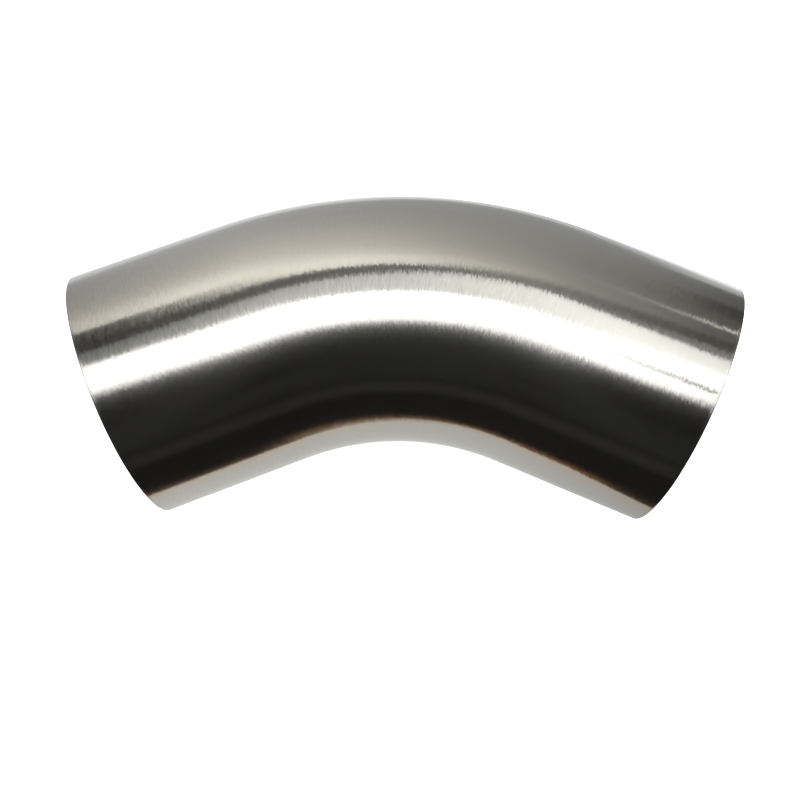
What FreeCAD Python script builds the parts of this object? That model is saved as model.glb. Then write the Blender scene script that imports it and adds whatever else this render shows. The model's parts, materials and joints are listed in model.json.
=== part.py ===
import FreeCAD, Part
import math
import os

# 45 degree elbow in three inch stainless steel tube, for a single-wall flue run.
#
# A strip is rolled into a tube, one lengthwise weld joins its two edges, and the welded tube
# is bent over a mandrel. Both ends are cut square and left plain, so the next pipe is welded
# on edge to edge, or a collar or a spigot slides over or into the end.
#
# The elbow lies on its side, as it would on a bench. Both pipe axes are in one level plane,
# +Z is up and Z = 0 is the bench. The elbow is symmetric about the YZ plane: the long outer
# curve of the bend, its heel, faces +Y, and the short inner curve, its throat, faces -Y.
# X = 0, Y = 0 is the middle of the elbow's footprint. All lengths are in millimetres.

# ---- Driving dimensions ----

OUTSIDE_DIAMETER = 76.2
WALL = 1.65
BEND_RADIUS = 1.5 * OUTSIDE_DIAMETER  # of the pipe axis
BEND_ANGLE = 45.0
CENTRE_TO_END = 92.075  # from the point where the two pipe axes cross to either end
RIM_BREAK = 0.25  # size of the 45 degree edge break inside and outside each rim

# The weld is on the underside, at the neutral line of the bend, a little towards the throat,
# so that it is not the line that the elbow lies on.
SEAM_POSITION = 255.0  # degrees round the section: 0 is the heel, 90 the top, 180 the throat
SEAM_WIDTH_OUTSIDE = 3.2
SEAM_WIDTH_INSIDE = 2.4
SEAM_CROWN = 0.1  # how far the rolled-down bead stands proud inside the tube

# ---- Derived sizes and places ----

OUTER = OUTSIDE_DIAMETER / 2
INNER = OUTER - WALL
HALF_TURN = math.radians(BEND_ANGLE / 2)
STRAIGHT = CENTRE_TO_END - BEND_RADIUS * math.tan(HALF_TURN)  # plain run at each end

# Heights of the heel and of the throat's lowest corner above the pipe axis at the apex.
HEEL_REACH = OUTER
THROAT_REACH = (
    BEND_RADIUS * (1 - math.cos(HALF_TURN))
    + (STRAIGHT - RIM_BREAK) * math.sin(HALF_TURN)
    + OUTER * math.cos(HALF_TURN)
)
APEX = FreeCAD.Vector(0, (THROAT_REACH - HEEL_REACH) / 2, OUTER)  # middle of the pipe axis
BEND_CENTRE = APEX - FreeCAD.Vector(0, BEND_RADIUS, 0)

UP = FreeCAD.Vector(0, 0, 1)
INLET_AXIS = FreeCAD.Vector(-math.cos(HALF_TURN), -math.sin(HALF_TURN), 0)
OUTLET_AXIS = FreeCAD.Vector(math.cos(HALF_TURN), -math.sin(HALF_TURN), 0)


# ---- The section of the tube, drawn in the YZ plane at the apex ----


def section_point(radius, angle):
    """A point of the section at a radius from the pipe axis, with its angle in degrees."""
    turn = math.radians(angle)
    return APEX + FreeCAD.Vector(0, radius * math.cos(turn), radius * math.sin(turn))


def section_arc(start, middle, end):
    """An arc through three points of the section, each given as (radius, angle)."""
    return Part.Arc(section_point(*start), section_point(*middle), section_point(*end)).toShape()


def section_line(start, end):
    """A straight edge between two points of the section, each given as (radius, angle)."""
    return Part.LineSegment(section_point(*start), section_point(*end)).toShape()


def seam_half_angle(width, radius):
    """Half the angle that the weld takes up, from its width at a radius."""
    return math.degrees(width / 2 / radius)


HALF_OUTSIDE = seam_half_angle(SEAM_WIDTH_OUTSIDE, OUTER)
HALF_INSIDE = seam_half_angle(SEAM_WIDTH_INSIDE, INNER)


def strip_section():
    """The rolled strip: almost a full ring, open where the weld goes."""
    outer_start = (OUTER, SEAM_POSITION + HALF_OUTSIDE)
    outer_end = (OUTER, SEAM_POSITION - HALF_OUTSIDE)
    inner_start = (INNER, SEAM_POSITION + HALF_INSIDE)
    inner_end = (INNER, SEAM_POSITION - HALF_INSIDE)
    opposite = SEAM_POSITION + 180
    edges = [
        section_arc(outer_start, (OUTER, opposite), outer_end),
        section_line(outer_end, inner_end),
        section_arc(inner_end, (INNER, opposite), inner_start),
        section_line(inner_start, outer_start),
    ]
    return Part.Face(Part.Wire(edges))


def weld_section():
    """The weld: flush with the tube outside, a low crown inside, narrower at its root."""
    outer_start = (OUTER, SEAM_POSITION - HALF_OUTSIDE)
    outer_end = (OUTER, SEAM_POSITION + HALF_OUTSIDE)
    inner_start = (INNER, SEAM_POSITION - HALF_INSIDE)
    inner_end = (INNER, SEAM_POSITION + HALF_INSIDE)
    edges = [
        section_arc(outer_start, (OUTER, SEAM_POSITION), outer_end),
        section_line(outer_end, inner_end),
        section_arc(inner_end, (INNER - SEAM_CROWN, SEAM_POSITION), inner_start),
        section_line(inner_start, outer_start),
    ]
    return Part.Face(Part.Wire(edges))


# ---- From a section to a bent solid ----


def turned(shape, degrees):
    """A copy of a shape, turned about the bend's axis."""
    copy = shape.copy()
    copy.rotate(BEND_CENTRE, UP, degrees)
    return copy


def along_the_elbow(section):
    """A section carried along the elbow: a straight run, the bend, a straight run."""
    inlet_section = turned(section, BEND_ANGLE / 2)
    outlet_section = turned(section, -BEND_ANGLE / 2)
    bend = inlet_section.revolve(BEND_CENTRE, UP, -BEND_ANGLE)
    inlet_run = inlet_section.extrude(INLET_AXIS * STRAIGHT)
    outlet_run = outlet_section.extrude(OUTLET_AXIS * STRAIGHT)
    return bend.fuse([inlet_run, outlet_run]).removeSplitter()


def ring_of_triangle(corners, degrees, axis):
    """A triangle in the YZ plane at the apex, moved to an end and spun about the pipe axis.

    Each corner is (distance past the rim, radius).
    """
    points = [APEX + axis * along + UP * radius for along, radius in corners]
    face = Part.Face(Part.makePolygon(points + points[:1]))
    ring = face.revolve(APEX, axis, 360)
    ring.rotate(BEND_CENTRE, UP, degrees)
    ring.translate(axis_after(axis, degrees) * STRAIGHT)
    return ring


def axis_after(axis, degrees):
    """A level direction, turned about the vertical."""
    return FreeCAD.Rotation(UP, degrees).multVec(axis)


def rim_cutters(axis, degrees):
    """The two rings that take the sharp edges off a rim, outside and inside."""
    over = 1.0  # how far the cutters run past the metal
    outside = [(over, OUTER - RIM_BREAK - over), (over, OUTER + over), (-RIM_BREAK - over, OUTER + over)]
    inside = [(over, INNER + RIM_BREAK + over), (over, INNER - over), (-RIM_BREAK - over, INNER - over)]
    return [ring_of_triangle(corners, degrees, axis) for corners in (outside, inside)]


def with_broken_rims(solid):
    """A swept solid with the sharp edges of both ends taken off."""
    cutters = rim_cutters(FreeCAD.Vector(-1, 0, 0), BEND_ANGLE / 2)
    cutters += rim_cutters(FreeCAD.Vector(1, 0, 0), -BEND_ANGLE / 2)
    return solid.cut(cutters).removeSplitter()


# ---- The two pieces ----


def elbow_tube():
    """The rolled and bent strip."""
    return with_broken_rims(along_the_elbow(strip_section()))


def seam_weld():
    """The lengthwise weld that closes the strip into a tube."""
    return with_broken_rims(along_the_elbow(weld_section()))


# ---- Writing the files ----

PIECES = {"elbow_tube": elbow_tube, "seam_weld": seam_weld}

os.makedirs("parts", exist_ok=True)
for name, make in PIECES.items():
    shape = make()
    solid = shape.Solids[0]
    solid.exportStep(f"parts/{name}.step")
    box = solid.optimalBoundingBox()
    print(name, "solids", len(shape.Solids), "faces", len(solid.Faces), "valid", solid.isValid())
    print("  volume", round(solid.Volume, 1), "mm3")
    print("  x", round(box.XMin, 3), round(box.XMax, 3), "y", round(box.YMin, 3), round(box.YMax, 3))
    print("  z", round(box.ZMin, 3), round(box.ZMax, 3))
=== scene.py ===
import json
import math

import bpy
from mathutils import Matrix, Vector


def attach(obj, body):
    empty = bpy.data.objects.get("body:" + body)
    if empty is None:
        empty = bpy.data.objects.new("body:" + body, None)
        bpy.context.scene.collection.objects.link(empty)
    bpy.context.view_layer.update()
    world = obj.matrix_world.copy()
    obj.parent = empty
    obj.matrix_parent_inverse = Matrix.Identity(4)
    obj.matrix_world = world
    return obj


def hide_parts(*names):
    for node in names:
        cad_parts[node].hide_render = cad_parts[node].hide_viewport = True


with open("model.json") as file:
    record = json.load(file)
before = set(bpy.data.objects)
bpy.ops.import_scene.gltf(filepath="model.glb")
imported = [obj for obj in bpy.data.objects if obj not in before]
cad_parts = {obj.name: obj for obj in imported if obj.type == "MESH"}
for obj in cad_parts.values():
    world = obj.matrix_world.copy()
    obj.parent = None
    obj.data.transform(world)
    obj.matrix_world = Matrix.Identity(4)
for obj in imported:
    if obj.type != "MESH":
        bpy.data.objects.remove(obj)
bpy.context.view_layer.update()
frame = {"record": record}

# ---- Sizes, in metres and radians. The tube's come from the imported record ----

MM = 0.001
MOUNTS = {mount["name"]: mount for mount in frame["record"]["mounts"]}
OUTER = MOUNTS["outlet_outside"]["dims"]["r_mm"] * MM
INNER = MOUNTS["outlet_bore"]["dims"]["r_mm"] * MM
WALL = OUTER - INNER
RIM_BREAK = 0.25 * MM  # radius of a rim's rounded edges
STRAIGHT = MOUNTS["outlet_outside"]["dims"]["length_mm"] * MM + RIM_BREAK
HALF_TURN = math.asin(-MOUNTS["outlet_rim"]["axis"][1])
RIM_X, RIM_Y, _ = MOUNTS["outlet_rim"]["pos_m"]
BEND_RADIUS = (RIM_X - STRAIGHT * math.cos(HALF_TURN)) / math.sin(HALF_TURN)
BEND_LENGTH = 2 * HALF_TURN * BEND_RADIUS
LENGTH = BEND_LENGTH + 2 * STRAIGHT  # along the pipe axis, rim to rim
AXIS_HEIGHT = OUTER
APEX_Y = RIM_Y + BEND_RADIUS * (1 - math.cos(HALF_TURN)) + STRAIGHT * math.sin(HALF_TURN)
BEND_CENTRE = Vector((0, APEX_Y - BEND_RADIUS, AXIS_HEIGHT))

# Angles round the section are in degrees: 0 is the heel (+Y), 90 the top, 180 the throat.
SEAM_ANGLE = 255.0
SEAM_WIDTH_OUTSIDE = 3.2 * MM
SEAM_WIDTH_INSIDE = 2.4 * MM
SEAM_CROWN = 0.1 * MM
RIPPLE_PITCH = 1.1 * MM
RIPPLE_HEIGHT = 0.02 * MM
RIPPLE_BOW = 0.6  # how far a ripple bows across the weld, in pitches
WAVINESS = 0.012 * MM  # what belt polishing leaves of the bend's unevenness
WAVES = [  # waves along the pipe, waves round it, phase, height
    (3, 2, 0.7, 1.0), (5, -3, 2.1, 0.6), (11, 5, 0.0, 0.3), (17, -4, 1.3, 0.25),
]

UV_MAP = "pipe"  # u: along the pipe axis in decimetres; v: turns round the section
U_PER_METRE = 10.0

OUTSIDE, RIM, INSIDE = range(3)  # material indices of a piece


# ---- The pipe's own coordinates, and meshes in them ----


def place(along, radius, angle):
    """The point at a distance from the inlet rim, a radius and an angle round the section."""
    turn = min(max((along - STRAIGHT) / BEND_RADIUS - HALF_TURN, -HALF_TURN), HALF_TURN)
    heelward = Vector((math.sin(turn), math.cos(turn), 0))
    onward = Vector((math.cos(turn), -math.sin(turn), 0))
    past = min(along - STRAIGHT, 0) + max(along - STRAIGHT - BEND_LENGTH, 0)
    centre = BEND_CENTRE + heelward * BEND_RADIUS + onward * past
    outward = heelward * math.cos(angle) + Vector((0, 0, 1)) * math.sin(angle)
    return centre + outward * radius


def stations(spacing, margin):
    """Distances from the inlet rim, evenly spaced between two margins."""
    count = round((LENGTH - 2 * margin) / spacing)
    return [margin + (LENGTH - 2 * margin) * i / count for i in range(count + 1)]


def rim_steps():
    """A rim from outside to inside, as (distance back from the rim, depth into the wall)."""
    steps = 4
    quarter = [math.pi / 2 * i / steps for i in range(steps + 1)]
    outer = [(RIM_BREAK * (1 - math.sin(t)), RIM_BREAK * (1 - math.cos(t))) for t in quarter]
    inner = [(back, WALL - depth) for back, depth in reversed(outer)]
    hold = 0.08 * MM  # edge loops that keep the rounding from bending the shading around it
    outer_hold = [(RIM_BREAK + hold, 0.0)]
    face_hold = [(0.0, RIM_BREAK + hold), (0.0, WALL - RIM_BREAK - hold)]
    inner_hold = [(RIM_BREAK + hold, WALL)]
    return outer_hold + outer + face_hold + inner + inner_hold


def wall_outline(spacing):
    """The wall's lengthwise outline, once round: (along, depth, finish of the next face)."""
    rim_width = RIM_BREAK + 0.6 * MM
    runs = stations(spacing, rim_width)
    rim = rim_steps()
    outline = [(along, 0.0, OUTSIDE) for along in runs]
    outline += [(LENGTH - back, depth, RIM) for back, depth in rim]
    outline += [(along, WALL, INSIDE) for along in reversed(runs)]
    outline += [(back, depth, RIM) for back, depth in reversed(rim)]
    return outline, len(runs), len(rim)


def make_sector(name, from_side, to_side, pieces_round, spacing, shape_radius):
    """A closed piece of the wall between two seam flanks.

    A side is (angle outside, angle inside) in radians. shape_radius(along, angle, depth, across)
    gives the radius, where across runs from -1 to 1 between the flanks.
    """
    outline, run_count, rim_count = wall_outline(spacing)
    loop = len(outline)
    vertices, pipe_uv = [], []
    for k in range(pieces_round + 1):
        share = k / pieces_round
        for along, depth, _ in outline:
            inward = depth / WALL
            start = from_side[0] + (from_side[1] - from_side[0]) * inward
            end = to_side[0] + (to_side[1] - to_side[0]) * inward
            angle = start + (end - start) * share
            radius = shape_radius(along, angle, depth, 2 * share - 1)
            vertices.append(place(along, radius, angle))
            pipe_uv.append((along * U_PER_METRE, angle / math.tau))
    faces, finishes = [], []
    for k in range(pieces_round):
        for i in range(loop):
            j = (i + 1) % loop
            faces.append((k * loop + i, (k + 1) * loop + i, (k + 1) * loop + j, k * loop + j))
            finishes.append(RIM if RIM in (outline[i][2], outline[j][2]) else outline[i][2])
    for k, flip in ((0, False), (pieces_round, True)):
        for face in flank_faces(run_count, rim_count, loop):
            corners = [k * loop + i for i in face]
            faces.append(tuple(reversed(corners)) if flip else tuple(corners))
            finishes.append(RIM)
    return add_piece(name, vertices, faces, finishes, pipe_uv)


def flank_faces(run_count, rim_count, loop):
    """The faces that close a flank, as positions in the wall's outline."""
    first_inside = run_count + rim_count
    inside_of = [first_inside + run_count - 1 - i for i in range(run_count)]
    faces = [(i, i + 1, inside_of[i + 1], inside_of[i]) for i in range(run_count - 1)]
    faces.append(tuple(range(run_count - 1, first_inside + 1)))
    faces.append(tuple(range(first_inside + run_count - 1, loop)) + (0,))
    return faces


def add_object(name, vertices, faces):
    mesh = bpy.data.meshes.new(name)
    mesh.from_pydata(vertices, [], faces)
    added = bpy.data.objects.new(name, mesh)
    bpy.context.scene.collection.objects.link(added)
    return added


def add_piece(name, vertices, faces, finishes, pipe_uv):
    """A smooth-shaded object with its finishes and its pipe coordinates."""
    piece = add_object(name, vertices, faces)
    mesh = piece.data
    mesh.polygons.foreach_set("material_index", finishes)
    mesh.polygons.foreach_set("use_smooth", [True] * len(faces))
    layer = mesh.uv_layers.new(name=UV_MAP)
    corners = [0] * len(mesh.loops)
    mesh.loops.foreach_get("vertex_index", corners)
    layer.data.foreach_set("uv", [value for corner in corners for value in pipe_uv[corner]])
    mesh.validate()
    return piece


# ---- The two pieces ----


def waviness(along, angle):
    """Slow unevenness of the polished outside, in metres."""
    way = along / LENGTH * math.tau
    total = 0.0
    for waves_along, waves_round, phase, height in WAVES:
        total += height * math.sin(waves_along * way + waves_round * angle + phase)
    return WAVINESS * total / 2


def faded(along):
    """0 at a rim, 1 from a few millimetres in."""
    reach = 8 * MM
    inside = min(along, LENGTH - along) / reach
    return min(max(inside, 0), 1)


def strip_radius(along, angle, depth, across):
    bump = waviness(along, angle) * faded(along) if depth < WALL / 2 else 0.0
    return OUTER - depth + bump


def weld_radius(along, angle, depth, across):
    if depth < WALL / 2:
        return strip_radius(along, angle, depth, across)
    arch = 1 - across**2
    ripple = math.sin(math.tau * (along / RIPPLE_PITCH + RIPPLE_BOW * arch))
    return OUTER - depth - (SEAM_CROWN + RIPPLE_HEIGHT * ripple) * arch * faded(along)


SEAM = math.radians(SEAM_ANGLE)
HALF_OUTSIDE = SEAM_WIDTH_OUTSIDE / 2 / OUTER
HALF_INSIDE = SEAM_WIDTH_INSIDE / 2 / INNER
seam_start = (SEAM - HALF_OUTSIDE, SEAM - HALF_INSIDE)
seam_end = (SEAM + HALF_OUTSIDE, SEAM + HALF_INSIDE)
seam_start_after_a_turn = (seam_start[0] + math.tau, seam_start[1] + math.tau)

tube_wall = make_sector(
    "tube_wall", seam_end, seam_start_after_a_turn,
    pieces_round=240, spacing=1.5 * MM, shape_radius=strip_radius,
)
weld_bead = make_sector(
    "weld_bead", seam_start, seam_end,
    pieces_round=14, spacing=0.22 * MM, shape_radius=weld_radius,
)


# ---- Material nodes ----

WHITE = (1.0, 1.0, 1.0, 1.0)
BLACK = (0.0, 0.0, 0.0, 1.0)


class Nodes:
    """A small helper for one node tree. Any value may be a number, a tuple or a socket."""

    def __init__(self, tree):
        self.tree = tree
        tree.nodes.clear()

    def add(self, kind, inputs=None, **settings):
        node = self.tree.nodes.new(kind)
        for key, value in settings.items():
            setattr(node, key, value)
        for key, value in (inputs or {}).items():
            self.feed(value, node.inputs[key])
        return node

    def feed(self, value, socket):
        if isinstance(value, bpy.types.NodeSocket):
            self.tree.links.new(value, socket)
        else:
            socket.default_value = value

    def math(self, operation, *values, clamp=False):
        inputs = dict(enumerate(values))
        return self.add("ShaderNodeMath", inputs, operation=operation, use_clamp=clamp).outputs[0]

    def step(self, value, low, high, to_low=0.0, to_high=1.0):
        """A soft step from to_low to to_high as value passes from low to high."""
        inputs = {
            "Value": value, "From Min": low, "From Max": high, "To Min": to_low, "To Max": to_high,
        }
        return self.add("ShaderNodeMapRange", inputs, interpolation_type="SMOOTHSTEP").outputs[0]

    def vector(self, x, y, z):
        return self.add("ShaderNodeCombineXYZ", {0: x, 1: y, 2: z}).outputs[0]

    def split(self, vector):
        return self.add("ShaderNodeSeparateXYZ", {0: vector}).outputs

    def mix(self, share, first, second, blend="MIX"):
        node = self.add("ShaderNodeMix", data_type="RGBA", blend_type=blend)
        factor, a, b = (s for s in node.inputs if s.enabled)
        self.feed(share, factor)
        self.feed(first, a)
        self.feed(second, b)
        return next(s for s in node.outputs if s.enabled)

    def times(self, colour, *others):
        for other in others:
            colour = self.mix(1.0, colour, other, "MULTIPLY")
        return colour

    def noise(self, vector, detail):
        inputs = {"Vector": vector, "Scale": 1.0, "Detail": detail}
        return self.add("ShaderNodeTexNoise", inputs).outputs[0]

    def curve(self, value, stops):
        """A colour ramp from (position, colour) stops; value and positions are from 0 to 1."""
        node = self.add("ShaderNodeValToRGB", {0: value})
        ramp = node.color_ramp
        while len(ramp.elements) < len(stops):
            ramp.elements.new(1.0)
        for element, (position, colour) in zip(ramp.elements, stops):
            element.position = position
            element.color = (*colour, 1.0)
        return node.outputs[0]

    def surface(self, shader, output_kind="ShaderNodeOutputMaterial"):
        """Ends the tree with this shader."""
        self.feed(shader, self.add(output_kind).inputs["Surface"])


def new_material(name):
    material = bpy.data.materials.new(name)
    material.use_nodes = True
    return material, Nodes(material.node_tree)


class PipeTexture:
    """Patterns laid out along and round the pipe."""

    def __init__(self, nodes):
        self.nodes = nodes
        uv = nodes.split(nodes.add("ShaderNodeUVMap", uv_map=UV_MAP).outputs[0])
        self.along = nodes.math("MULTIPLY", uv[0], 1 / (U_PER_METRE * MM))  # millimetres
        angle = nodes.math("MULTIPLY", uv[1], math.tau)
        self.cos = nodes.math("COSINE", angle)
        self.sin = nodes.math("SINE", angle)
        self.round = nodes.math("MULTIPLY", angle, OUTER / MM)  # millimetres

    def noise(self, size_along, size_round, slant=0.0, offset=0.0, detail=2.0):
        """Noise whose features have these sizes in millimetres. slant tilts them off the circle."""
        along = self.nodes.math("MULTIPLY_ADD", self.round, slant, self.along)
        x = self.nodes.math("MULTIPLY_ADD", along, 1 / size_along, offset)
        ring = OUTER / MM / size_round
        y = self.nodes.math("MULTIPLY", self.cos, ring)
        z = self.nodes.math("MULTIPLY", self.sin, ring)
        return self.nodes.noise(self.nodes.vector(x, y, z), detail)


def metal(nodes, colour, roughness, normal, anisotropy):
    """A metal whose gloss is drawn out along the pipe axis by grooves that run round it."""
    tangent = nodes.add("ShaderNodeTangent", direction_type="UV_MAP", uv_map=UV_MAP).outputs[0]
    inputs = {
        "Base Color": colour,
        "Metallic": 1.0,
        "Roughness": roughness,
        "Normal": normal,
        "Anisotropic": anisotropy,
        "Tangent": tangent,
    }
    nodes.surface(nodes.add("ShaderNodeBsdfPrincipled", inputs).outputs[0])


def tilted(nodes, along_tilt, round_tilt):
    """A normal that leans by these amounts along and round the pipe."""
    x = nodes.math("ADD", 0.5, along_tilt)
    y = nodes.math("ADD", 0.5, round_tilt)
    colour = nodes.vector(x, y, 1.0)
    return nodes.add("ShaderNodeNormalMap", {"Color": colour}, uv_map=UV_MAP).outputs[0]


def swing(nodes, noise, amount):
    """Noise about its middle, times an amount."""
    return nodes.math("MULTIPLY", nodes.math("SUBTRACT", noise, 0.5), amount)


def polished_outside():
    """Belt-polished stainless: fine hairlines round the pipe, some slightly slanted."""
    material, nodes = new_material("polished_stainless")
    pipe = PipeTexture(nodes)
    hairlines = pipe.noise(0.3, 2.6, slant=0.08)
    slanted = pipe.noise(0.22, 1.3, slant=-0.25, offset=40.0, detail=1.0)
    streaks = pipe.noise(1.1, 9.0, slant=0.1, offset=90.0)
    clouds = pipe.noise(12.0, 16.0, offset=150.0)
    gloss = nodes.math("ADD", swing(nodes, hairlines, 0.08), swing(nodes, streaks, 0.05))
    gloss = nodes.math("ADD", gloss, swing(nodes, clouds, 0.04))
    roughness = nodes.math("ADD", 0.15, gloss, clamp=True)
    round_tilt = nodes.math("ADD", swing(nodes, slanted, 0.030), swing(nodes, hairlines, 0.012))
    normal = tilted(nodes, swing(nodes, hairlines, 0.03), round_tilt)
    shade = nodes.math("ADD", 0.5, swing(nodes, hairlines, 0.8), clamp=True)
    colour = nodes.mix(shade, (0.585, 0.575, 0.54, 1), (0.665, 0.658, 0.622, 1))
    metal(nodes, colour, roughness, normal, anisotropy=0.9)
    return material


def drawn_inside():
    """The unpolished bore: duller, with faint lengthwise drawing marks."""
    material, nodes = new_material("drawn_stainless")
    pipe = PipeTexture(nodes)
    marks = pipe.noise(22.0, 0.7, detail=3.0)
    grain = pipe.noise(0.5, 0.5, offset=30.0, detail=3.0)
    clouds = pipe.noise(9.0, 9.0, offset=70.0, detail=3.0)
    gloss = nodes.math("ADD", swing(nodes, marks, 0.2), swing(nodes, clouds, 0.2))
    roughness = nodes.math("ADD", 0.42, gloss, clamp=True)
    normal = tilted(nodes, swing(nodes, grain, 0.06), swing(nodes, marks, 0.12))
    plain = nodes.mix(clouds, (0.60, 0.59, 0.565, 1), (0.68, 0.67, 0.64, 1))
    metal(nodes, plain, roughness, normal, anisotropy=0.2)
    return material


def cut_rim():
    """The cut and deburred rim: bright metal with fine turning marks."""
    material, nodes = new_material("cut_stainless")
    pipe = PipeTexture(nodes)
    marks = pipe.noise(0.08, 6.0)
    chatter = pipe.noise(3.0, 0.5, offset=20.0)
    roughness = nodes.math("ADD", 0.21, swing(nodes, marks, 0.14), clamp=True)
    normal = tilted(nodes, swing(nodes, marks, 0.04), swing(nodes, chatter, 0.05))
    colour = nodes.mix(marks, (0.58, 0.57, 0.54, 1), (0.66, 0.65, 0.625, 1))
    metal(nodes, colour, roughness, normal, anisotropy=0.2)
    return material


def weld_inside():
    """The root of the weld: rippled and straw-tinted."""
    material, nodes = new_material("weld_root")
    pipe = PipeTexture(nodes)
    scale = pipe.noise(0.9, 0.9, detail=3.0)
    patches = pipe.noise(14.0, 6.0, offset=60.0)
    roughness = nodes.math("ADD", 0.36, swing(nodes, scale, 0.25), clamp=True)
    normal = tilted(nodes, swing(nodes, scale, 0.15), swing(nodes, scale, 0.1))
    tint = nodes.curve(patches, [
        (0.3, (0.56, 0.52, 0.44)), (0.5, (0.55, 0.46, 0.32)), (0.7, (0.5, 0.47, 0.44)),
    ])
    metal(nodes, tint, roughness, normal, anisotropy=0.0)
    return material


def weld_outside():
    """The weld ground flush: the tube's polish, with a trace of another grain."""
    material, nodes = new_material("weld_flush")
    pipe = PipeTexture(nodes)
    hairlines = pipe.noise(0.35, 4.0, slant=0.06, detail=3.0)
    grain = pipe.noise(0.7, 0.7, offset=20.0, detail=3.0)
    gloss = nodes.math("ADD", swing(nodes, hairlines, 0.09), swing(nodes, grain, 0.05))
    roughness = nodes.math("ADD", 0.175, gloss, clamp=True)
    normal = tilted(nodes, swing(nodes, hairlines, 0.04), swing(nodes, grain, 0.035))
    colour = nodes.mix(grain, (0.58, 0.57, 0.537, 1), (0.65, 0.642, 0.608, 1))
    metal(nodes, colour, roughness, normal, anisotropy=0.87)
    return material


rim_finish = cut_rim()
for finish in (polished_outside(), rim_finish, drawn_inside()):
    tube_wall.data.materials.append(finish)
for finish in (weld_outside(), rim_finish, weld_inside()):
    weld_bead.data.materials.append(finish)

for piece, node, material_slot in (
    (tube_wall, "elbow_tube", "polished_stainless"),
    (weld_bead, "seam_weld", "weld_metal"),
):
    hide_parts(node)
    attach(piece, "root")


# ---- Camera ----

CAMERA_TARGET = Vector((-0.85, -14.8, 38.1)) * MM
CAMERA_DISTANCE = 231.4 * MM
CAMERA_ELEVATION = math.radians(73.455)
CAMERA_AZIMUTH = math.radians(-1.952)  # 0 looks along +Y, positive turns towards +X
CAMERA_ROLL = math.radians(-0.920)
CAMERA_LENS = 33.957  # in millimetres, like the sensor's width
SENSOR_WIDTH = 36.0
CLIP_START = 0.01


def make_camera():
    look = Vector((
        math.sin(CAMERA_AZIMUTH) * math.cos(CAMERA_ELEVATION),
        math.cos(CAMERA_AZIMUTH) * math.cos(CAMERA_ELEVATION),
        -math.sin(CAMERA_ELEVATION),
    ))
    turn = look.to_track_quat("-Z", "Y").to_matrix().to_4x4()
    data = bpy.data.cameras.new("camera")
    data.lens = CAMERA_LENS
    data.sensor_width = SENSOR_WIDTH
    data.clip_start = CLIP_START
    camera = bpy.data.objects.new("camera", data)
    bpy.context.scene.collection.objects.link(camera)
    seat = Matrix.Translation(CAMERA_TARGET - look * CAMERA_DISTANCE)
    camera.matrix_world = seat @ turn @ Matrix.Rotation(CAMERA_ROLL, 4, "Z")
    bpy.context.scene.camera = camera


make_camera()


# ---- Floor, sheet, cards and lamps ----

DISTANCE_MAP = "distance"  # v: distance from a panel's first side, in metres


def add_panel(name, first_side, depth, height):
    """A level strip that starts along the points of its first side and reaches depth along Y."""
    count = len(first_side)
    vertices = [(x, y, height) for x, y in first_side]
    vertices += [(x, y + depth, height) for x, y in first_side]
    faces = [(i, i + 1, count + i + 1, count + i) for i in range(count - 1)]
    panel = add_object(name, vertices, faces)
    layer = panel.data.uv_layers.new(name=DISTANCE_MAP)
    for loop, corner in zip(panel.data.loops, layer.data):
        corner.uv = (0.0, 0.0 if loop.vertex_index < count else abs(depth))
    return panel


def show_only_in_reflections(panel, shades_lamps=False):
    """Hides a panel from all but reflections. One in front of a lamp has to shade it as well."""
    panel.visible_camera = False
    panel.visible_diffuse = False
    panel.visible_shadow = shades_lamps


def glow(nodes, colour, cover=None):
    """Light of this colour. Where cover is below 1 what lies behind shows through."""
    shader = nodes.add("ShaderNodeEmission", {"Color": colour, "Strength": 1.0}).outputs[0]
    if cover is not None:
        clear = nodes.add("ShaderNodeBsdfTransparent").outputs[0]
        shader = nodes.add("ShaderNodeMixShader", {0: cover, 1: clear, 2: shader}).outputs[0]
    nodes.surface(shader)


def grey_curve(nodes, value, pairs, tint=(1.0, 1.0, 1.0)):
    """A curve through (value, brightness) pairs, held level beyond its ends."""
    low, high = pairs[0][0], pairs[-1][0]
    inputs = {"Value": value, "From Min": low, "From Max": high}
    position = nodes.add("ShaderNodeMapRange", inputs).outputs[0]
    stops = [((at - low) / (high - low), tuple(grey * t for t in tint)) for at, grey in pairs]
    return nodes.curve(position, stops)


def place_on_panel(nodes):
    """The x and y of a place on a panel, in metres."""
    x, y, _ = nodes.split(nodes.add("ShaderNodeTexCoord").outputs["Object"])
    return x, y


def off_first_side(nodes):
    """The distance of a place on a panel from its first side, in metres."""
    return nodes.split(nodes.add("ShaderNodeUVMap", uv_map=DISTANCE_MAP).outputs[0])[1]


FLOOR_REACH = 8.0


def make_floor():
    """A plain pale floor. The metal reflects the sheet that lies on it instead."""
    first_side = [(-FLOOR_REACH, -FLOOR_REACH), (FLOOR_REACH, -FLOOR_REACH)]
    floor = add_panel("floor", first_side, 2 * FLOOR_REACH, 0.0)
    floor.visible_glossy = False
    material, nodes = new_material("floor_white")
    inputs = {"Base Color": (0.9, 0.9, 0.9, 1), "Roughness": 0.9, "Specular IOR Level": 0.0}
    nodes.surface(nodes.add("ShaderNodeBsdfPrincipled", inputs).outputs[0])
    floor.data.materials.append(material)


SHEET_HEIGHT = 0.0005
SHEET_DEPTH = 0.5
SHEET_NEAR_SIDE = [
    (-1.5, -0.123), (-0.085, -0.119), (-0.06, -0.1105), (-0.033, -0.0987), (-0.007, -0.087),
    (-0.002, -0.093), (0.0015, -0.102), (0.03, -0.1055), (0.045, -0.1025), (0.06, -0.0985),
    (1.5, -0.0985),
]
SHEET_TRIM_WIDTH = 0.03


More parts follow.
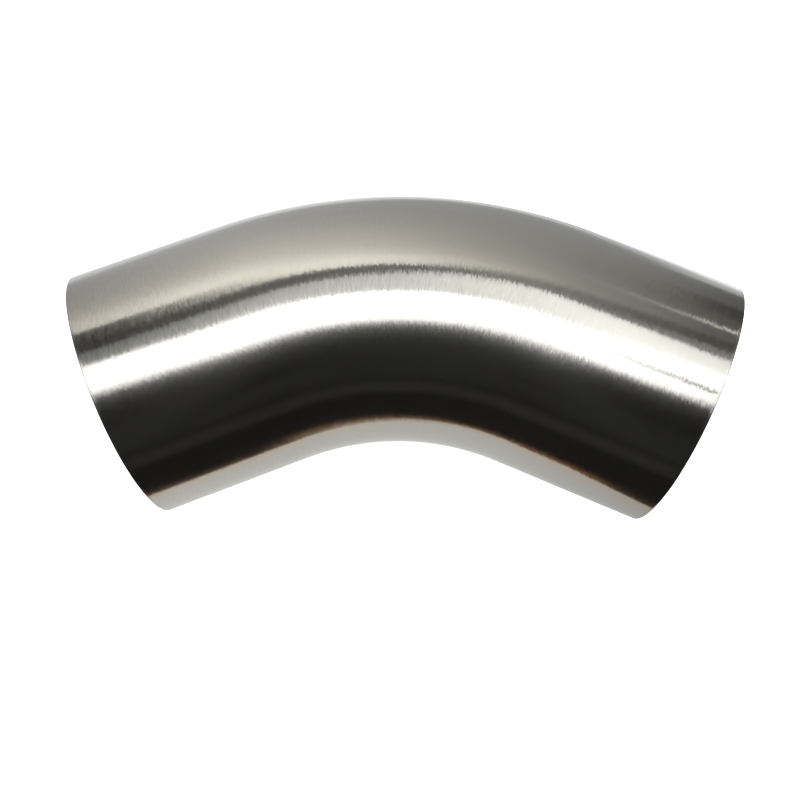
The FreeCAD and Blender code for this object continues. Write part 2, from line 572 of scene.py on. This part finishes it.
def near_light(nodes, x, y):
    """The sheet's light on the near side: dimmer at the right and warm along the near edge."""
    level = grey_curve(nodes, y, [
        (-0.1, 0.60), (-0.075, 0.635), (-0.055, 0.655), (-0.035, 0.675), (-0.02, 0.71),
        (0.0, 0.95),
    ])
    evenness = grey_curve(nodes, x, [
        (-0.06, 1.05), (-0.03, 1.0), (0.0, 0.98), (0.03, 0.92), (0.075, 0.74),
    ])
    inward = nodes.step(off_first_side(nodes), 0.004, 0.032)
    warmth = nodes.mix(inward, (1.08, 1.0, 0.87, 1), (0.99, 0.995, 0.96, 1))
    return nodes.times(level, evenness, warmth)


def far_light(nodes, x, y):
    """The sheet's light on the far side: it falls off away from the elbow, sooner at the right."""
    delay = grey_curve(nodes, x, [  # how much further out the falloff comes
        (-0.12, 0.0), (-0.08, 0.024), (-0.03, 0.036), (0.0, 0.030), (0.027, 0.022),
        (0.05, 0.008), (0.075, 0.003), (0.11, 0.006), (0.16, 0.02),
    ])
    delay = nodes.math("MULTIPLY", delay, nodes.step(y, 0.0, 0.05))
    delayed_y = nodes.math("SUBTRACT", y, delay)
    left = grey_curve(nodes, delayed_y, [
        (0.0, 0.95), (0.02, 1.3), (0.045, 1.35), (0.059, 1.12), (0.068, 1.02), (0.075, 0.90),
        (0.083, 0.83), (0.095, 0.77), (0.105, 0.73), (0.126, 0.61), (0.14, 0.56), (0.16, 0.5),
        (0.4, 0.45),
    ])
    right = grey_curve(nodes, delayed_y, [
        (0.0, 0.95), (0.02, 1.3), (0.045, 1.4), (0.065, 1.15), (0.075, 1.02), (0.084, 0.8),
        (0.092, 0.62), (0.1, 0.54), (0.127, 0.5), (0.16, 0.45), (0.4, 0.42),
    ])
    level = nodes.mix(nodes.step(x, 0.05, 0.11), left, right)
    cool = (0.99, 1.0, 1.035)
    evenness = grey_curve(nodes, x, [(-0.16, 0.93), (-0.12, 1.0), (0.13, 1.0), (0.17, 1.1)], cool)
    close_evenness = grey_curve(nodes, x, [
        (-0.1, 0.92), (-0.03, 0.93), (0.0, 0.98), (0.03, 0.91), (0.06, 0.80), (0.085, 0.84),
        (0.11, 1.0),
    ])
    close_evenness = nodes.mix(nodes.step(y, 0.086, 0.102), close_evenness, WHITE)
    return nodes.times(level, evenness, close_evenness)


def cover_up_to_wall(nodes, x, y):
    """1 over the sheet and 0 past its far end, which bends, so that it fades into the wall."""
    end = grey_curve(nodes, x, [
        (-0.11, 0.155), (-0.02, 0.148), (0.02, 0.13), (0.1, 0.132), (0.13, 0.142),
        (0.155, 0.157), (0.17, 0.187), (0.3, 0.2),
    ])
    fade = 0.022
    return nodes.step(nodes.math("SUBTRACT", y, end), -fade, fade, 1.0, 0.0)


def make_sheet():
    """The lit sheet the elbow lies on, as the metal reflects it: its near edge is close by."""
    sheet = add_panel("sheet", SHEET_NEAR_SIDE, SHEET_DEPTH, SHEET_HEIGHT)
    show_only_in_reflections(sheet)
    material, nodes = new_material("sheet_glow")
    x, y = place_on_panel(nodes)
    far = nodes.step(y, -0.012, 0.0)
    light = nodes.mix(far, near_light(nodes, x, y), far_light(nodes, x, y))
    glow(nodes, light, cover_up_to_wall(nodes, x, y))
    sheet.data.materials.append(material)


def make_sheet_trim():
    """A trim of warm light along the sheet's near edge."""
    trim = add_panel("sheet_trim", SHEET_NEAR_SIDE, -SHEET_TRIM_WIDTH, SHEET_HEIGHT)
    show_only_in_reflections(trim)
    material, nodes = new_material("trim_glow")
    x, _ = place_on_panel(nodes)
    cover = grey_curve(nodes, off_first_side(nodes), [
        (0.0, 1.0), (0.009, 0.8), (0.016, 0.3), (SHEET_TRIM_WIDTH, 0.0),
    ])
    level = grey_curve(nodes, x, [
        (-0.06, 0.5), (-0.02, 0.45), (0.0, 1.1), (0.035, 1.3), (0.05, 0.25),
    ])
    glow(nodes, nodes.times(level, (0.17, 0.085, 0.03, 1)), cover)
    trim.data.materials.append(material)


# Outline of the dark patches of painted shade just past each rim.
SHADE_FLAG_OUTLINE = [  # (distance past the rim, distance off the pipe axis)
    (0.001, -0.027), (0.018, -0.05), (0.13, -0.05), (0.13, 0.04), (0.001, 0.035),
]


def make_shade_flags():
    """Small dark patches on the sheet just past both rims: painted shade that stands for the
    elbow's own shadow there, and draws the rims dark.
    """
    material, nodes = new_material("painted_shade_black")
    # A nearly black glow: painted shade in what the rims reflect.
    glow(nodes, (0.02, 0.02, 0.019, 1))
    for side in (-1, 1):
        onward = Vector((side * math.cos(HALF_TURN), -math.sin(HALF_TURN), 0))
        across = Vector((side * math.sin(HALF_TURN), math.cos(HALF_TURN), 0))
        rim = Vector((side * RIM_X, RIM_Y, 2 * SHEET_HEIGHT))
        corners = [rim + onward * past + across * off for past, off in SHADE_FLAG_OUTLINE]
        shade_flag = add_object("shade_flag", corners, [tuple(range(len(corners)))])
        show_only_in_reflections(shade_flag)
        shade_flag.data.materials.append(material)


CARD_HEIGHT = 0.26
CARD_DEPTH = 0.6
CARD_EDGE = [
    (-0.6, -0.081), (-0.1, -0.079), (-0.057, -0.0775), (-0.014, -0.0745), (0.0, -0.077),
    (0.0066, -0.080), (0.012, -0.070), (0.033, -0.069), (0.055, -0.073), (0.07, -0.080),
    (0.097, -0.0815), (0.6, -0.083),
]


def make_card():
    """A dark card on the camera's side, over the elbow, with a hazy edge."""
    card = add_panel("dark_card", CARD_EDGE, -CARD_DEPTH, CARD_HEIGHT)
    show_only_in_reflections(card, shades_lamps=True)
    material, nodes = new_material("card_black")
    off_edge = off_first_side(nodes)
    x, _ = place_on_panel(nodes)
    level = grey_curve(nodes, off_edge, [
        (0.0, 1.5), (0.006, 1.15), (0.012, 0.66), (0.018, 0.38), (0.024, 0.25), (0.03, 0.185),
        (0.037, 0.14), (0.044, 0.115), (0.058, 0.08), (0.072, 0.06), (0.087, 0.048),
        (0.12, 0.04), (0.2, 0.034), (CARD_DEPTH, 0.03),
    ])
    close_evenness = grey_curve(nodes, x, [
        (-0.3, 0.15), (-0.1, 0.36), (-0.06, 0.65), (-0.03, 1.0), (0.008, 1.0), (0.03, 0.42),
        (0.07, 0.42), (0.1, 0.25), (0.15, 0.08), (0.3, 0.03),
    ])
    far_evenness = grey_curve(nodes, x, [
        (-0.3, 0.3), (-0.125, 0.66), (-0.077, 0.8), (-0.03, 0.85), (0.0, 1.0), (0.012, 0.75),
        (0.027, 0.5), (0.045, 0.6), (0.072, 0.85), (0.12, 0.7), (0.3, 0.1),
    ])
    evenness = nodes.mix(nodes.step(off_edge, 0.14, 0.24), close_evenness, far_evenness)
    evenness = nodes.mix(nodes.step(off_edge, 0.011, 0.024), WHITE, evenness)
    glow(nodes, nodes.times(level, evenness))
    card.data.materials.append(material)


SOFTBOX_HEIGHT = 1.1
SOFTBOX_WIDTH = 1.3
SOFTBOX_DEPTH = 0.86
SOFTBOX_FAR_EDGE = 0.065
SOFTBOX_RADIANCE = 1.85

BAR_HEIGHT = 1.0
BAR_DEPTH = 0.044
BAR_EDGE = [(0.14, -0.103), (0.8, -0.308)]
BAR_FADE = 0.095  # from its left end


def make_softbox():
    """A long softbox overhead."""
    data = bpy.data.lights.new("softbox", "AREA")
    data.shape = "RECTANGLE"
    data.size = SOFTBOX_WIDTH
    data.size_y = SOFTBOX_DEPTH
    data.energy = SOFTBOX_RADIANCE * SOFTBOX_WIDTH * SOFTBOX_DEPTH * math.pi
    softbox = bpy.data.objects.new("softbox", data)
    softbox.location = (0, SOFTBOX_FAR_EDGE - SOFTBOX_DEPTH / 2, SOFTBOX_HEIGHT)
    bpy.context.scene.collection.objects.link(softbox)
    softbox.visible_camera = False


def make_bar():
    """A slanting bar under the right half of the softbox."""
    bar = add_panel("softbox_bar", BAR_EDGE, -BAR_DEPTH, BAR_HEIGHT)
    show_only_in_reflections(bar, shades_lamps=True)
    material, nodes = new_material("bar_grey")
    x, _ = place_on_panel(nodes)
    start = BAR_EDGE[0][0]
    glow(nodes, (0.05, 0.05, 0.05, 1), nodes.step(x, start, start + BAR_FADE))
    bar.data.materials.append(material)


# ---- The room, which only reflections see ----

# The tilt of a direction is its angle from straight up, in degrees and positive towards +Y. Its
# lean is its angle towards +X, in degrees.


def dark_side(nodes, tilt, lean):
    """The dark side of the room, towards -Y: a little darker at the right."""
    dark = grey_curve(nodes, tilt, [
        (-142, 0.5), (-134, 0.012), (-92, 0.013), (-86, 0.030), (-80, 0.028), (-72, 0.014),
    ], (1.0, 0.99, 0.93))
    darker = nodes.times(dark, (0.85, 0.85, 0.85, 1))
    return nodes.mix(nodes.step(lean, 0, 30), dark, darker)


def pale_wall(nodes, tilt, lean):
    """The pale wall towards +Y: it falls off downwards and to the right."""
    high = grey_curve(nodes, lean, [
        (-45, 0.42), (-31, 0.62), (-28, 0.82), (-25, 1.0), (-23, 1.14), (-20, 1.27), (-14, 1.33),
        (-9, 1.37), (-5, 1.27), (0, 1.05), (4, 0.84), (9, 0.66), (13, 0.52), (16, 0.43),
        (19, 0.34), (21, 0.26), (24, 0.19), (26.5, 0.10), (28, 0.065), (31, 0.03), (45, 0.03),
    ], (1.01, 1.0, 0.935))
    low = grey_curve(nodes, lean, [
        (-45, 0.36), (-35, 0.41), (-32, 0.45), (-29, 0.49), (-25, 0.51), (-18, 0.49), (-8, 0.45),
        (0, 0.415), (7, 0.395), (15, 0.37), (21, 0.355), (26.5, 0.322), (29, 0.278),
        (31.5, 0.232), (33, 0.193), (35, 0.125), (37, 0.09), (45, 0.05),
    ], (1.0, 1.0, 0.97))
    reaches_down = nodes.step(lean, -8, -30, 0.0, 15.0)  # the high part's light, at the left
    share = grey_curve(nodes, nodes.math("SUBTRACT", tilt, reaches_down), [
        (33, 1.0), (36, 0.85), (39, 0.67), (42, 0.53), (48, 0.37), (56, 0.25), (64, 0.18),
        (72, 0.11), (80, 0.05), (95, 0.0),
    ])
    wall = nodes.mix(share, low, high)
    warmth = nodes.mix(nodes.step(tilt, 70, 100), (1.03, 1.0, 0.975, 1), (0.995, 1.0, 1.02, 1))
    wall = nodes.times(wall, warmth)

    # At the far right it has a dark patch, with some shade above it
    patch = nodes.math("MULTIPLY", nodes.step(tilt, 55, 68), nodes.step(tilt, 88, 76))
    patch = nodes.math("MULTIPLY", patch, nodes.step(lean, 30.3, 34.3, 0.0, 0.9))
    above = nodes.math("MULTIPLY", nodes.step(tilt, 76, 60), nodes.step(lean, 24, 30, 0.0, 0.3))
    return nodes.mix(nodes.math("MAXIMUM", patch, above), wall, BLACK)


def ceiling_strip(nodes, tilt, lean):
    """The pale strip of ceiling next to the softbox. Behind the softbox there is none of it."""
    strip = grey_curve(nodes, lean, [
        (-45, 0.10), (-24, 0.17), (-18, 0.26), (-14, 0.38), (-10, 0.52), (-6, 0.62), (-3, 0.76),
        (0, 0.92), (3, 1.2), (6, 1.48), (10, 1.62), (15, 1.6), (19, 1.4), (23, 1.2), (45, 0.6),
    ], (1.0, 1.01, 0.98))
    return nodes.times(strip, grey_curve(nodes, tilt, [(-3, 0.0), (2, 1.08), (18, 0.95)]))


def dark_beam(nodes, tilt, lean):
    """The dark beam between the ceiling strip and the wall, with a paler lining at the right."""
    beam = grey_curve(nodes, lean, [
        (-30, 0.022), (-24, 0.030), (-21, 0.055), (-17, 0.095), (-11, 0.14), (-6, 0.20),
        (11, 0.205), (14, 0.20), (17, 0.155), (19, 0.135), (21, 0.125), (22.5, 0.10),
        (24, 0.083), (26, 0.056), (30, 0.045),
    ], (1.0, 1.0, 0.93))
    lining = nodes.math("MULTIPLY", nodes.step(tilt, 27.2, 26.0), nodes.step(lean, 8, 17))
    return nodes.mix(lining, beam, (0.27, 0.27, 0.26, 1))


def past_beam_sides(nodes, tilt, lean):
    """Whether a direction is past the beam's near side, and past its far side. Both sides bend."""
    near_side = grey_curve(nodes, lean, [
        (-45, 0.155), (-22, 0.158), (-14, 0.177), (-5, 0.180), (0, 0.200), (3, 0.219),
        (7, 0.232), (13, 0.234), (16, 0.230), (18, 0.215), (20.3, 0.202), (22.3, 0.190),
        (45, 0.15),
    ])
    far_side = grey_curve(nodes, lean, [
        (-45, 0.37), (-28, 0.366), (-25, 0.363), (-21.5, 0.357), (-18, 0.333), (-13.5, 0.286),
        (-8, 0.279), (0, 0.282), (4, 0.298), (9, 0.322), (13, 0.333), (18, 0.354), (22, 0.361),
        (27, 0.37), (45, 0.38),
    ])
    hundreds = nodes.math("MULTIPLY", tilt, 0.01)  # of degrees, as in the two curves
    near_blur, far_blur = 0.006, 0.004
    past_near = nodes.step(nodes.math("SUBTRACT", hundreds, near_side), -near_blur, near_blur)
    past_far = nodes.step(nodes.math("SUBTRACT", hundreds, far_side), -far_blur, far_blur)
    return past_near, past_far


SLIVER_TILT = 48.9
SLIVER_START = 28.2  # the lean of its point
SLIVER_WIDENING = 0.6  # of its half width, for each degree of lean
SLIVER_HALF_WIDTH = 1.8  # at most
SLIVER_BLUR = 0.25


def in_sliver(nodes, tilt, lean):
    """Whether a direction is in the bright sliver on the right."""
    off_sliver = nodes.math("ABSOLUTE", nodes.math("SUBTRACT", tilt, SLIVER_TILT))
    past_point = nodes.math("SUBTRACT", lean, SLIVER_START)
    half_width = nodes.math("MULTIPLY", past_point, SLIVER_WIDENING)
    half_width = nodes.math("MINIMUM", half_width, SLIVER_HALF_WIDTH)
    return nodes.step(nodes.math("SUBTRACT", off_sliver, half_width), SLIVER_BLUR, -SLIVER_BLUR)


def reflected_room(nodes, direction):
    """What the metal sees in a direction."""
    x, y, z = direction
    tilt = nodes.math("DEGREES", nodes.math("ARCTAN2", y, z))
    lean = nodes.math("DEGREES", nodes.math("ARCSINE", x))
    at = (nodes, tilt, lean)

    past_near, past_far = past_beam_sides(*at)
    room = nodes.mix(past_near, ceiling_strip(*at), dark_beam(*at))
    room = nodes.mix(past_far, room, pale_wall(*at))
    room = nodes.mix(nodes.step(tilt, -32, -28), dark_side(*at), room)
    room = nodes.mix(in_sliver(*at), room, (1.15, 1.12, 1.0, 1))

    # Far to the left and right it is dim, and then come pale side walls, brighter higher up
    off_middle = nodes.math("ABSOLUTE", lean)
    room = nodes.mix(nodes.step(off_middle, 37, 44), room, (0.07, 0.07, 0.066, 1))
    rise = nodes.step(z, -0.3, 0.5)
    side_wall = nodes.mix(rise, (0.55, 0.55, 0.54, 1), (1.15, 1.15, 1.14, 1))
    return nodes.mix(nodes.step(off_middle, 56, 68), room, side_wall)


BACKDROP = (1.05, 1.05, 1.05, 1)  # what the camera sees
SKY = (3.0, 3.0, 3.0, 1)  # what lights the floor


def make_surroundings():
    """A plain pale studio for the camera and the floor, and the room for reflections."""
    world = bpy.data.worlds.new("studio")
    world.use_nodes = True
    world.cycles.sampling_method = "NONE"
    bpy.context.scene.world = world
    nodes = Nodes(world.node_tree)
    direction = nodes.split(nodes.add("ShaderNodeTexCoord").outputs["Generated"])
    path = nodes.add("ShaderNodeLightPath").outputs
    plain = nodes.mix(path["Is Camera Ray"], SKY, BACKDROP)
    colour = nodes.mix(path["Is Glossy Ray"], plain, reflected_room(nodes, direction))
    background = nodes.add("ShaderNodeBackground", {"Color": colour, "Strength": 1.0})
    nodes.surface(background.outputs[0], "ShaderNodeOutputWorld")


make_floor()
make_sheet()
make_sheet_trim()
make_shade_flags()
make_card()
make_bar()
make_softbox()
make_surroundings()

bpy.context.scene.view_settings.view_transform = "Standard"
